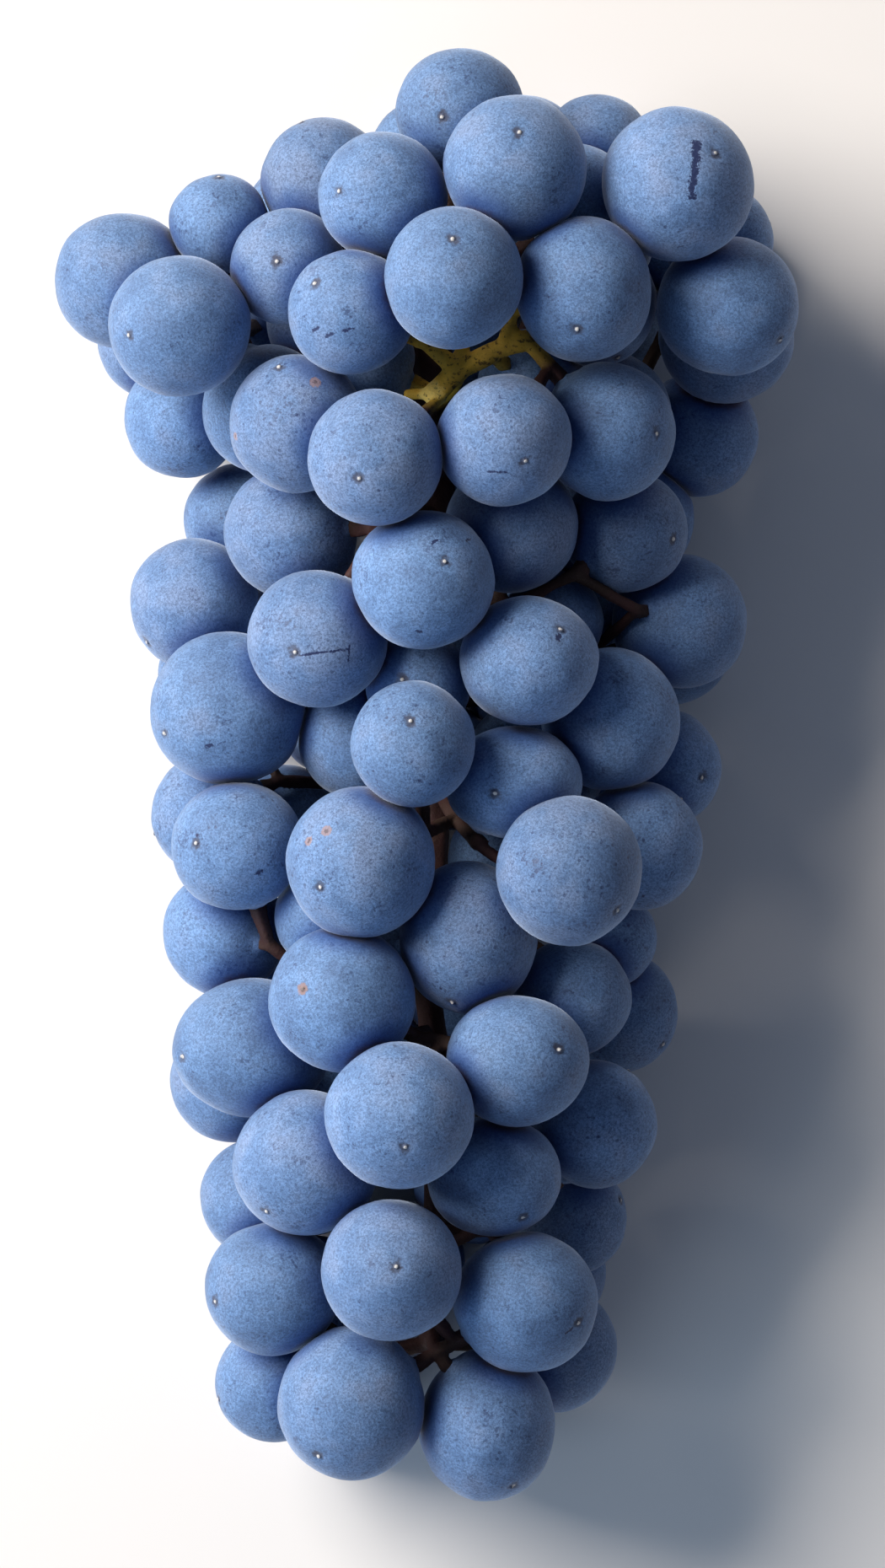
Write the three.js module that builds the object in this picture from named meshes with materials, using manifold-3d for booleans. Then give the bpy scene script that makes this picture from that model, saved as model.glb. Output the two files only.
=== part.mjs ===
// A bunch of dark table grapes, cut from the vine and laid down on its side.
// Millimetres, +Z up. +Y runs from the tip of the bunch towards its shoulders.
// Every berry hangs on its own pedicel of one branching stem. The berries in front are nodes of
// their own, and those behind and below them are joined, in clusters, to the ones they press on.
import * as THREE from "three";
import { mergeVertices } from "three/addons/utils/BufferGeometryUtils.js";
import Module from "manifold-3d";

const wasm = await Module();
wasm.setup();

// ---- Driving dimensions -------------------------------------------------------------------

const BUNCH_WIDTH = 96.8; // across the shoulders
const BUNCH_LENGTH = 190.9; // tip to shoulders
const BUNCH_HEIGHT = 69.0; // as it lies
const BERRY_GROWTH = 1; // every berry's diameter against the lists below

const BEARING_SINK = 0.5; // how far a berry that bears the bunch is pressed flat
const BERRY_GAP = 0.12; // least distance between two separate berries
const PRESS_IN = 1.4; // how far two joined berries are pressed into each other
const STEM_GAP = 0.3; // between the end of a pedicel and its berry

const RACHIS_RADIUS_TOP = 3.2; // at the cut
const RACHIS_RADIUS_TIP = 1.3;
const BRANCH_RADIUS = 1.25;
const PEDICEL_RADIUS = 0.75; // where it leaves the branch
const RECEPTACLE_RADIUS = 1.3; // where it meets the berry

const BERRY_FACETS = 1; // subdivisions of a berry's faceted ball
const RACHIS_SIDES = 7;
const BRANCH_SIDES = 5;
const PEDICEL_SIDES = 4;
const CLUSTERS = 8; // of joined berries, from the shoulders to the tip
const SETTLE_PASSES = 1600;
const HOMESICKNESS = 0.01; // how far an early pass draws a berry back to its place
const LISTED_EASE = 0.1; // how readily a listed berry gives way, where a hidden one has 1

// The lists place each berry in a bunch of this size. Other sizes stretch the places with them.
const DRAWN_SIZE = new THREE.Vector3(96.8, 190.9, 69.0);
const STRETCH = new THREE.Vector3(BUNCH_WIDTH, BUNCH_LENGTH, BUNCH_HEIGHT).divide(DRAWN_SIZE);

// ---- Where the berries sit ----------------------------------------------------------------

// The berries in front, a tier to a block: [x, y, diameter, height of the centre].
const FRONT_BERRIES = [
  // the shoulders
  [-39.5, 65.5, 17.5, 28], [-27, 73, 12.5, 31], [-13.5, 78.5, 16, 31], [-5.6, 76, 16.2, 48],
  [4.5, 87.5, 16, 38], [11.7, 79.6, 18, 53], [32.7, 77.4, 19.4, 50], [39.5, 62, 17.6, 41.5],
  [20.7, 64, 17.8, 53], [3.6, 65.2, 17.5, 60], [-9.7, 61, 15.5, 51], [-18.3, 67, 14.5, 40],
  [-32, 59.7, 18, 42],
  // below the shoulders
  [-20, 49.3, 16.2, 27], [-16.8, 46.6, 17, 43], [-6.7, 42, 16.9, 56], [10.2, 44.2, 16.9, 54],
  [22.8, 46.2, 17, 42.5], [25.9, 32, 15.4, 33], [11.5, 33, 17, 40], [-0.1, 26.2, 17.8, 51],
  [-17.8, 33.5, 17, 30],
  // the middle
  [-30.3, 22.9, 16.7, 20.5], [-14.1, 18.5, 17.6, 43], [-25, 9.2, 19.4, 31], [-24.5, -8.6, 16.6, 33],
  [-26.2, -20.2, 15.8, 21.5], [-7.8, -10.6, 18.9, 47], [-1.8, 4.3, 15.8, 52], [13.4, 15.2, 17, 46],
  [12.3, -0.2, 16, 42], [23.8, 7.8, 18, 33.5], [33, 21.4, 17.2, 24.5], [31, 1.5, 14.4, 20.5],
  [28, -8.4, 15.8, 31], [18.4, -11.3, 18.2, 52],
  // below the middle
  [-13, -18, 13.5, 31.5], [5.3, -20.7, 18.2, 40], [-10.8, -28.8, 18.2, 43], [-22.8, -35.3, 18.5, 30.5],
  [-3.5, -43.5, 18.8, 51], [11.6, -37, 17.2, 43], [21.8, -45.2, 16.6, 28.5], [9.5, -52.4, 15.8, 38],
  // the tip
  [-15.7, -50, 18, 38.5], [-20, -66.7, 17, 32], [-4.5, -64, 17.5, 44], [12.5, -68, 18, 36],
  [-19.9, -79.3, 15, 20.5], [-9.7, -81.7, 18.8, 34], [8.3, -83.7, 18.2, 29],
];

// Berries that show only between and beside the ones in front: the same four sizes.
const DEEP_BERRIES = [
  [22.6, 83.6, 13.4, 27], [12, 82.8, 15, 18], [19.5, 76.5, 14, 38], [38.3, 72.5, 14, 29.5],
  [40.5, 59, 17, 23], [22.5, 62, 16, 36], [-37.5, 57.8, 15, 8], [-31.5, 48, 15.2, 16.5],
  [-7, 53, 13, 35], [14, 51, 13, 35], [24.3, 47.5, 16.6, 26], [35.7, 44.5, 15.6, 14.5],
  [26.5, 33, 15, 17], [-25.8, 35.8, 14.3, 9.5], [32.5, 18, 16, 8], [16.5, 20, 13, 30],
  [0, 13.5, 13, 38], [-8.5, 1.5, 15, 32], [-28.6, -4.5, 15, 18], [24, -20, 12, 23],
  [19, -28.8, 14.8, 31], [25.8, -30.2, 15.8, 15], [-25.5, -39.8, 15.6, 14.5],
  [-21.9, -55, 15.2, 21], [19.3, -57.3, 14.4, 19], [18.7, -74, 16, 20], [6.3, -87, 17, 12],
];

// How far to each side the centres of the hidden berries may lie, and where along the bunch.
const HIDDEN_LIMITS = [
  { along: 86, left: 7, right: 13 }, { along: 80, left: -8, right: 27 },
  { along: 72, left: -23, right: 35 }, { along: 60, left: -37, right: 38 },
  { along: 50, left: -30, right: 34 }, { along: 40, left: -24, right: 27 },
  { along: 20, left: -29, right: 32 }, { along: -10, left: -24, right: 27 },
  { along: -20, left: -25, right: 21 }, { along: -35, left: -24, right: 22 },
  { along: -50, left: -20, right: 20 }, { along: -65, left: -19, right: 17 },
  { along: -80, left: -17, right: 12 }, { along: -87, left: -8, right: 7 },
];
const HIDDEN_DIAMETER = 16.6; // of a usual berry on the underside
const HIDDEN_VARIATION = 1.1; // more or less than that
const HIDDEN_LAYERS = 2; // the ones that bear the bunch, and those above them
const LAYER_SHARE = 0.82; // of a diameter, from one layer up to the next
const ROOM_SHARE = 0.94; // of two radii: the room that a hidden berry needs to be there at all
const SEARCH_STEP = 1.5; // between the places tried for hidden berries

// The main axis of the stem, from the cut end to the tip.
const RACHIS_PATH = [
  [5, 86, 25], [3, 74, 27], [1, 62, 24], [1, 46, 23], [1.5, 28, 27], [0, 12, 26], [1.5, -6, 26],
  [0, -24, 26], [2, -42, 27], [1, -58, 26], [0.5, -74, 24],
];
const RACHIS_CLEARANCE = 0.8; // between the rachis and the berries around it
const RACHIS_STEPS = 14; // joints along it
const THICKENING = 0.3; // power of the number of berries that a branch carries
const LONG_PEDICEL = 2.2; // radii of its berry, beyond which an elbow may shorten the way
const ELBOW_TURNS = 12; // directions tried for an elbow around a straight way

// Side branches that leave the stem at its nearest joint: the places they pass, outwards.
const SIDE_BRANCHES = [
  [[2, 50.5, 31], [4.5, 53.5, 41], [8.5, 55.5, 43], [13.5, 57, 44]],
  [[4.5, 54, 41], [1, 56.5, 42]],
  [[10, 56.5, 43.5], [11.5, 61, 45]],
  [[4.5, 53, 41], [1.5, 49.5, 41.5]],
  [[3, 62, 30], [4.5, 70, 38]],
  [[-7, 70, 33], [-16, 68, 29], [-26, 63, 28]],
  [[12, 69, 33], [24, 70, 34], [31, 68, 34]],
  [[-6, 33, 36], [-7, 31, 39]],
  [[9, 22, 33], [19, 24, 31]],
  [[-10, 10, 32], [-16, 4, 32]],
  [[4, -5, 33], [7, -8, 40]],
  [[12, -18, 30], [19, -19, 31]],
  [[-8, -24, 30], [-14, -24, 29]],
  [[0, -33, 33], [-1.5, -33.5, 39]],
  [[8, -58, 31], [5, -56, 34]],
  [[1, -73, 30], [1.5, -75, 33]],
];
const HUB_BRANCHES = 4; // the first of them, which keep their places and the berries off

// ---- Berries: chosen by hand, filled in below, then settled against each other -------------

function listedBerry([x, y, diameter, height], node) {
  const centre = new THREE.Vector3(x, y, height).multiply(STRETCH);
  return { centre, radius: (diameter / 2) * BERRY_GROWTH, node, bears: false, ease: LISTED_EASE };
}

// A repeatable spread of values from -1 to 1, one for each whole number.
function spread(index) {
  return Math.sin(index * 12.9898 + 4.1);
}

function hiddenLimits(along) {
  const next = HIDDEN_LIMITS.findIndex((place) => place.along < along);
  if (next <= 0) return HIDDEN_LIMITS.at(next);
  const [from, to] = [HIDDEN_LIMITS[next - 1], HIDDEN_LIMITS[next]];
  const blend = (side) => THREE.MathUtils.mapLinear(along, from.along, to.along, from[side], to[side]);
  return { left: blend("left"), right: blend("right") };
}

function stretched(place) {
  return new THREE.Vector3(...place).multiply(STRETCH);
}

function rachisCurve() {
  return new THREE.CatmullRomCurve3(RACHIS_PATH.map(stretched));
}

function rachisRadius(along) {
  return THREE.MathUtils.lerp(RACHIS_RADIUS_TOP, RACHIS_RADIUS_TIP, along);
}

// Places along the rachis and the hub branches, which the berries stay clear of.
function keptPlaces(curve) {
  const places = curve.getPoints(80);
  const kept = places.map((at, index) => {
    const radius = rachisRadius(index / (places.length - 1));
    return { at, reach: radius + RACHIS_CLEARANCE };
  });
  for (const branch of SIDE_BRANCHES.slice(0, HUB_BRANCHES)) {
    const line = new THREE.CatmullRomCurve3(branch.map(stretched));
    kept.push(...line.getPoints(8).map((at) => ({ at, reach: BRANCH_RADIUS + STEM_GAP })));
  }
  return kept;
}

function hasRoom(candidate, berries, kept) {
  const free = berries.every((other) => {
    const room = (candidate.radius + other.radius) * ROOM_SHARE;
    return candidate.centre.distanceTo(other.centre) >= room;
  });
  return free && kept.every(({ at, reach }) => candidate.centre.distanceTo(at) >= candidate.radius + reach);
}

// Layers of berries under the listed ones, wherever a search along and across finds the room.
function hiddenBerries(listed, kept) {
  const diameter = HIDDEN_DIAMETER * BERRY_GROWTH;
  const halfLength = HIDDEN_LIMITS[0].along * STRETCH.y;
  const found = [];
  for (let layer = 0; layer < HIDDEN_LAYERS; layer++) {
    for (let y = halfLength; y > -halfLength; y -= SEARCH_STEP) {
      const { left, right } = hiddenLimits(y / STRETCH.y);
      for (let x = left * STRETCH.x; x <= right * STRETCH.x; x += SEARCH_STEP) {
        const radius = (diameter + HIDDEN_VARIATION * spread(found.length)) / 2;
        const height = radius - BEARING_SINK + layer * diameter * LAYER_SHARE;
        const centre = new THREE.Vector3(x, y, height);
        const candidate = { centre, radius, node: null, bears: layer === 0, ease: 1 };
        if (hasRoom(candidate, [...listed, ...found], kept)) found.push(candidate);
      }
    }
  }
  return found;
}

function surfaceGap(one, other) {
  return one.centre.distanceTo(other.centre) - one.radius - other.radius;
}

// The shortest set of links that holds all the given berries together.
function spanningLinks(berries) {
  const linked = [berries[0]];
  const waiting = berries.slice(1);
  const links = [];
  while (waiting.length) {
    let best = { gap: Infinity };
    for (const one of linked) {
      for (const other of waiting) {
        const gap = surfaceGap(one, other);
        if (gap < best.gap) best = { gap, one, other };
      }
    }
    links.push([best.one, best.other]);
    linked.push(best.other);
    waiting.splice(waiting.indexOf(best.other), 1);
  }
  return links;
}

// The berries reached from one of them over the given links.
function reached(start, links) {
  const found = new Set([start]);
  for (const berry of found) {
    for (const link of links) {
      if (link.includes(berry)) link.forEach((end) => found.add(end));
    }
  }
  return found;
}

// Cuts the linked berries into clusters, always through the middle of the largest one.
function cutIntoClusters(berries, allLinks) {
  let links = allLinks;
  let clusters = [new Set(berries)];
  while (clusters.length < CLUSTERS) {
    const largest = clusters.reduce((most, each) => (each.size > most.size ? each : most));
    const inside = links.filter(([one]) => largest.has(one));
    const halves = inside.map((link) => {
      const rest = inside.filter((each) => each !== link);
      const half = reached(link[0], rest);
      return { link, half, uneven: Math.abs(largest.size - 2 * half.size) };
    });
    const cut = halves.reduce((best, each) => (each.uneven < best.uneven ? each : best));
    const otherHalf = new Set([...largest].filter((berry) => !cut.half.has(berry)));
    clusters = clusters.filter((each) => each !== largest).concat(cut.half, otherHalf);
    links = links.filter((each) => each !== cut.link);
  }
  const along = (cluster) => Math.max(...[...cluster].map((berry) => berry.centre.y));
  clusters.sort((a, b) => along(b) - along(a));
  return { clusters: clusters.map((cluster) => [...cluster]), links };
}

function keepOnSurface(berry) {
  const bearing = berry.radius - BEARING_SINK;
  const clear = berry.radius + STEM_GAP;
  berry.centre.z = berry.bears ? bearing : Math.max(berry.centre.z, clear);
}

function keepOffStem(berry, kept) {
  for (const { at, reach } of kept) {
    const away = berry.centre.clone().sub(at);
    const inside = berry.radius + reach - away.length();
    if (inside > 0) berry.centre.addScaledVector(away.normalize(), inside * 0.5);
  }
}

// Pushes the berries apart until none is inside another, and pulls linked ones together.
function settle(berries, links, kept) {
  const pairKey = (one, other) => Math.min(one, other) * berries.length + Math.max(one, other);
  const linked = new Set(links.map((pair) => pairKey(...pair.map((berry) => berries.indexOf(berry)))));
  const homes = berries.map((berry) => berry.centre.clone());
  const apart = new THREE.Vector3();
  for (let pass = 0; pass < SETTLE_PASSES; pass++) {
    const homesick = HOMESICKNESS * Math.max(0, 1 - (1.1 * pass) / SETTLE_PASSES);
    for (let i = 0; i < berries.length; i++) {
      berries[i].centre.lerp(homes[i], homesick);
      keepOffStem(berries[i], kept);
      for (let j = i + 1; j < berries.length; j++) {
        const [one, other] = [berries[i], berries[j]];
        const together = linked.has(pairKey(i, j));
        const wanted = one.radius + other.radius + (together ? -PRESS_IN : BERRY_GAP);
        apart.subVectors(other.centre, one.centre);
        const distance = apart.length();
        if (distance >= wanted && !together) continue;
        const move = (wanted - distance) / (one.ease + other.ease) / distance;
        one.centre.addScaledVector(apart, -move * one.ease);
        other.centre.addScaledVector(apart, move * other.ease);
      }
      keepOnSurface(berries[i]);
    }
  }
}

// ---- Solids: geometry into manifold-3d and back ---------------------------------------------

function solidOf(geometry) {
  const bare = geometry.clone();
  bare.deleteAttribute("normal");
  bare.deleteAttribute("uv");
  const merged = mergeVertices(bare, 1e-4);
  const mesh = { numProp: 3, vertProperties: new Float32Array(merged.attributes.position.array) };
  mesh.triVerts = new Uint32Array(merged.index.array);
  return new wasm.Manifold(new wasm.Mesh(mesh));
}

function geometryOf(solid) {
  const { numProp, vertProperties, triVerts } = solid.getMesh();
  const geometry = new THREE.BufferGeometry();
  const positions = new Float32Array((vertProperties.length / numProp) * 3);
  for (let v = 0; v < positions.length / 3; v++) {
    for (let axis = 0; axis < 3; axis++) {
      positions[v * 3 + axis] = vertProperties[v * numProp + axis];
    }
  }
  geometry.setAttribute("position", new THREE.BufferAttribute(positions, 3));
  geometry.setIndex([...triVerts]);
  geometry.computeVertexNormals();
  return geometry;
}

// A faceted ball with a corner straight down, so that a berry that bears has its lowest point there.
function ball(radius) {
  const cornerToPole = Math.atan(2 / (1 + Math.sqrt(5)));
  return new THREE.IcosahedronGeometry(radius, BERRY_FACETS).rotateX(cornerToPole);
}

function ballSolid(berry, extra = 0) {
  return solidOf(ball(berry.radius + extra).translate(...berry.centre));
}

// Everything under the surface that the bunch lies on.
function groundSolid() {
  const depth = 20;
  const block = new THREE.BoxGeometry(BUNCH_WIDTH * 3, BUNCH_LENGTH * 3, depth);
  return solidOf(block.translate(0, 0, -depth / 2));
}

// ---- The stem -------------------------------------------------------------------------------

// Distance from a point to the straight line between two others.
function distanceToLine(point, from, to) {
  const nearest = new THREE.Vector3();
  new THREE.Line3(from, to).closestPointToPoint(point, true, nearest);
  return nearest.distanceTo(point);
}

function lineIsClear(from, to, berries, own, radius) {
  return berries.every((berry) => {
    if (berry === own) return true;
    return distanceToLine(berry.centre, from, to) >= berry.radius + radius + STEM_GAP;
  });
}

// Moves a place out of every berry that it is inside of.
function pushOut(place, berries, radius) {
  const moved = place.clone();
  for (let pass = 0; pass < 60; pass++) {
    for (const berry of berries) {
      const away = moved.clone().sub(berry.centre);
      const reach = berry.radius + radius + STEM_GAP - away.length();
      if (reach > 0) moved.addScaledVector(away.normalize(), reach);
    }
  }
  return moved;
}

// The joints of the stem, each with the joint that it grew from.
function rachisJoints(curve) {
  const joints = [];
  for (let i = 0; i <= RACHIS_STEPS; i++) {
    const along = i / RACHIS_STEPS;
    const from = joints.at(-1) ?? null;
    joints.push({ at: curve.getPoint(along), from, radius: rachisRadius(along), rachis: true });
  }
  return joints;
}

function nearestJoint(joints, place) {
  const distance = (joint) => joint.at.distanceTo(place);
  return joints.reduce((best, joint) => (distance(joint) < distance(best) ? joint : best));
}

function addSideBranches(joints, berries) {
  SIDE_BRANCHES.forEach((places, index) => {
    let from = nearestJoint(joints, stretched(places[0]));
    for (const place of places) {
      const kept = index < HUB_BRANCHES;
      const at = kept ? stretched(place) : pushOut(stretched(place), berries, BRANCH_RADIUS);
      if (!lineIsClear(from.at, at, berries, null, PEDICEL_RADIUS)) break;
      from = { at, from, radius: PEDICEL_RADIUS, rachis: false };
      joints.push(from);
    }
  });
}

// Places for one elbow between two others: rings around the straight line.
function elbows(from, to) {
  const along = to.clone().sub(from).normalize();
  const side = new THREE.Vector3(along.y, -along.x, 0.2).cross(along).normalize();
  const found = [];
  for (const share of [0.35, 0.5, 0.65]) {
    for (const offset of [3, 6, 9, 12]) {
      for (let turn = 0; turn < ELBOW_TURNS; turn++) {
        const around = side.clone().applyAxisAngle(along, (turn * 2 * Math.PI) / ELBOW_TURNS);
        found.push(from.clone().lerp(to, share).addScaledVector(around, offset));
      }
    }
  }
  return found;
}

// Whether a place has a berry straight above or below it, so that it is within the outline.
function isWithinBunch(place, berries) {
  return berries.some(({ centre, radius }) => {
    return Math.hypot(centre.x - place.x, centre.y - place.y) < radius;
  });
}

// The shortest clear way from the stem to a berry: straight, or with one elbow.
function bestWay(berry, joints, berries) {
  const leads = (start, elbow) => lineIsClear(start, elbow, berries, null, PEDICEL_RADIUS);
  const reaches = (start) => lineIsClear(start, berry.centre, berries, berry, RECEPTACLE_RADIUS);
  const near = joints
    .map((joint) => ({ joint, distance: joint.at.distanceTo(berry.centre) }))
    .sort((a, b) => a.distance - b.distance);
  const straight = near.find(({ joint }) => reaches(joint.at));
  let best = { ...straight, elbow: null, length: straight?.distance ?? Infinity };
  if (best.length < berry.radius * LONG_PEDICEL) return best;
  for (const { joint, distance } of near) {
    if (distance >= best.length) break;
    const places = elbows(joint.at, berry.centre);
    for (const elbow of places.filter((place) => isWithinBunch(place, berries))) {
      const length = joint.at.distanceTo(elbow) + elbow.distanceTo(berry.centre);
      if (length >= best.length) continue;
      if (reaches(elbow) && leads(joint.at, elbow)) best = { joint, elbow, length };
    }
  }
  return best;
}

// Inner berries first, so that the outer ones can branch off the pedicels of the inner ones.
function addPedicels(joints, berries) {
  const rachis = joints.filter((joint) => joint.rachis);
  const depth = (berry) => nearestJoint(rachis, berry.centre).at.distanceTo(berry.centre);
  const outwards = [...berries].sort((a, b) => depth(a) - depth(b));
  const pedicels = [];
  for (const berry of outwards) {
    const { joint, elbow } = bestWay(berry, joints, berries);
    if (!joint) throw new Error("a berry has no way to the stem");
    let from = joint;
    if (elbow) {
      from = { at: elbow, from, radius: PEDICEL_RADIUS, rachis: false };
      joints.push(from);
    }
    const reach = 1 - berry.radius / from.at.distanceTo(berry.centre);
    const fork = from.at.clone().lerp(berry.centre, reach * 0.6);
    joints.push({ at: fork, from, radius: PEDICEL_RADIUS, rachis: false, isFork: true });
    pedicels.push({ from, fork: joints.at(-1), berry });
  }
  return pedicels;
}

// A joint carries every berry beyond it. A branch is thicker the more it carries, as far as the
// berries beside it leave room.
function thicken(joints, pedicels, berries) {
  for (const joint of joints) joint.carries = 0;
  for (const { fork } of pedicels) {
    for (let joint = fork; joint; joint = joint.from) joint.carries++;
  }
  for (const joint of joints.filter((each) => !each.rachis)) {
    const toLine = (berry) => distanceToLine(berry.centre, joint.at, joint.from.at);
    const room = Math.min(...berries.map((berry) => toLine(berry) - berry.radius));
    const grown = PEDICEL_RADIUS * joint.carries ** THICKENING;
    const most = Math.min(BRANCH_RADIUS, room - STEM_GAP);
    joint.radius = Math.max(PEDICEL_RADIUS, Math.min(grown, most));
  }
}

// A tapered round limb between two places, which starts a little way inside the one before it.
function limb(from, to, radiusFrom, radiusTo, sides) {
  const along = to.clone().sub(from).normalize();
  const start = from.clone().addScaledVector(along, -radiusFrom * 0.4);
  const geometry = new THREE.CylinderGeometry(radiusTo, radiusFrom, start.distanceTo(to), sides, 1);
  const turn = new THREE.Quaternion().setFromUnitVectors(new THREE.Vector3(0, 1, 0), along);
  const middle = start.lerp(to, 0.5);
  return solidOf(geometry.applyQuaternion(turn).translate(...middle));
}

// A pedicel with its flared end, flat against its berry.
function pedicelSolid({ from, fork, berry }) {
  const length = from.at.distanceTo(berry.centre);
  const end = from.at.clone().lerp(berry.centre, 1 - (berry.radius + STEM_GAP) / length);
  return limb(from.at, end, Math.min(from.radius, fork.radius), RECEPTACLE_RADIUS, PEDICEL_SIDES);
}

function stemSolid(curve, berries) {
  const joints = rachisJoints(curve);
  addSideBranches(joints, berries);
  const pedicels = addPedicels(joints, berries);
  thicken(joints, pedicels, berries);
  const pieces = pedicels.map(pedicelSolid);
  for (const joint of joints) {
    if (joint.isFork || !joint.from || joint.carries === 0) continue;
    const start = joint.rachis ? joint.from.radius : Math.min(joint.radius, joint.from.radius);
    const sides = joint.rachis ? RACHIS_SIDES : BRANCH_SIDES;
    pieces.push(limb(joint.from.at, joint.at, start, joint.radius, sides));
  }
  return pieces.reduce((whole, piece) => whole.add(piece));
}

// ---- The bunch ------------------------------------------------------------------------------

const frontSkin = new THREE.MeshStandardMaterial({ color: 0x55719c, roughness: 0.62 });
const hiddenSkin = new THREE.MeshStandardMaterial({ color: 0x36486f, roughness: 0.62 });
const stemWood = new THREE.MeshStandardMaterial({ color: 0x9a8c4e, roughness: 0.75 });
for (const material of [frontSkin, hiddenSkin, stemWood]) material.metalness = 0;

function twoDigits(number) {
  return String(number).padStart(2, "0");
}

function frontMesh(berry) {
  const mesh = new THREE.Mesh(ball(berry.radius), frontSkin);
  mesh.name = berry.node;
  mesh.position.copy(berry.centre);
  return mesh;
}

function clusterMesh(cluster, index, ground) {
  const solids = cluster.map((berry) => ballSolid(berry));
  const joined = solids.reduce((whole, solid) => whole.add(solid)).subtract(ground);
  const mesh = new THREE.Mesh(geometryOf(joined), hiddenSkin);
  mesh.name = "back_berries_" + twoDigits(index + 1);
  return mesh;
}

function stemMesh(curve, berries) {
  const mesh = new THREE.Mesh(geometryOf(stemSolid(curve, berries)), stemWood);
  mesh.name = "stem";
  return mesh;
}

function makeBunch() {
  const curve = rachisCurve();
  const kept = keptPlaces(curve);
  const front = FRONT_BERRIES.map((row, i) => listedBerry(row, "berry_" + twoDigits(i + 1)));
  const deep = DEEP_BERRIES.map((row) => listedBerry(row, null));
  const hidden = hiddenBerries([...front, ...deep], kept);
  const back = [...deep, ...hidden];
  const { clusters, links } = cutIntoClusters(back, spanningLinks(back));
  const berries = [...front, ...back];
  settle(berries, links, kept);

  const bunch = new THREE.Group();
  const ground = groundSolid();
  bunch.add(...front.map(frontMesh));
  bunch.add(...clusters.map((cluster, index) => clusterMesh(cluster, index, ground)));
  bunch.add(stemMesh(curve, berries));

  // The origin is under the middle of the bunch, on the surface that it lies on.
  const middle = new THREE.Box3().setFromObject(bunch, true).getCenter(new THREE.Vector3());
  bunch.position.set(-middle.x, -middle.y, 0);
  return bunch;
}

const part = new THREE.Group();
part.add(makeBunch());
export default part;
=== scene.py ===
"""A bunch of dark blue grapes with a dusty bloom, lying on a pale surface and seen from above.

Every berry is a mesh of its own, pressed a little against its neighbours, with the scar of its
flower and the dimple of its pedicel. The stem is one branching woody piece.
"""
import math
import random

import bmesh
import bpy
import numpy as np
from mathutils import Matrix, Vector, noise


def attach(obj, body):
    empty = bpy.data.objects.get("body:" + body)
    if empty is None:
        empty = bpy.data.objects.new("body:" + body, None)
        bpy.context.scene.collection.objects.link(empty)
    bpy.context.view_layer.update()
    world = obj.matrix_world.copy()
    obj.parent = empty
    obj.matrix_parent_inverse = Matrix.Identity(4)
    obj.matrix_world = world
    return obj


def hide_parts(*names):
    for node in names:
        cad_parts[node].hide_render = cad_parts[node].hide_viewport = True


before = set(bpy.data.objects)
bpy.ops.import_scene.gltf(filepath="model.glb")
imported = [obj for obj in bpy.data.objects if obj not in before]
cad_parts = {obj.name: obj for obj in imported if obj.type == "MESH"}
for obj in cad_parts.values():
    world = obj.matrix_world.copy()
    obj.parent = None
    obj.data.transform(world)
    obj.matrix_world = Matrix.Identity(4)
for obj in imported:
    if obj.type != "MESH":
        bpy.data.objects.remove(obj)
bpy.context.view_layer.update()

MM = 0.001
BODY = "root"

# ---- Putting shader nodes together ---------------------------------------------------------------


class Term:
    """A value between shader nodes: arithmetic on it adds the Math nodes."""

    def __init__(self, nodes, socket):
        self.nodes = nodes
        self.socket = socket

    def worked(self, operation, first, second):
        return self.nodes.add("ShaderNodeMath", {"operation": operation}, {0: first, 1: second})

    def __add__(self, other):
        return self.worked("ADD", self, other)

    __radd__ = __add__

    def __mul__(self, other):
        return self.worked("MULTIPLY", self, other)

    __rmul__ = __mul__

    def __sub__(self, other):
        return self.worked("SUBTRACT", self, other)

    def __rsub__(self, other):
        return self.worked("SUBTRACT", other, self)

    def __pow__(self, other):
        return self.worked("POWER", self, other)

    def greater(self, other):
        return self.worked("MAXIMUM", self, other)

    def lesser(self, other):
        return self.worked("MINIMUM", self, other)


class Nodes:
    """A node tree being put together."""

    def __init__(self, tree):
        self.tree = tree

    def add(self, kind, settings, values, output=0):
        """Any node: its settings first, then the values or links of its sockets."""
        node = self.tree.nodes.new(kind)
        for key, setting in settings.items():
            setattr(node, key, setting)
        for key, value in values.items():
            self.put(node.inputs[key], value)
        return Term(self, node.outputs[output])

    def put(self, socket, value):
        if isinstance(value, Term):
            self.tree.links.new(value.socket, socket)
        elif isinstance(value, tuple) and len(value) == 3 and socket.type == "RGBA":
            socket.default_value = (*value, 1.0)
        else:
            socket.default_value = value


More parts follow.
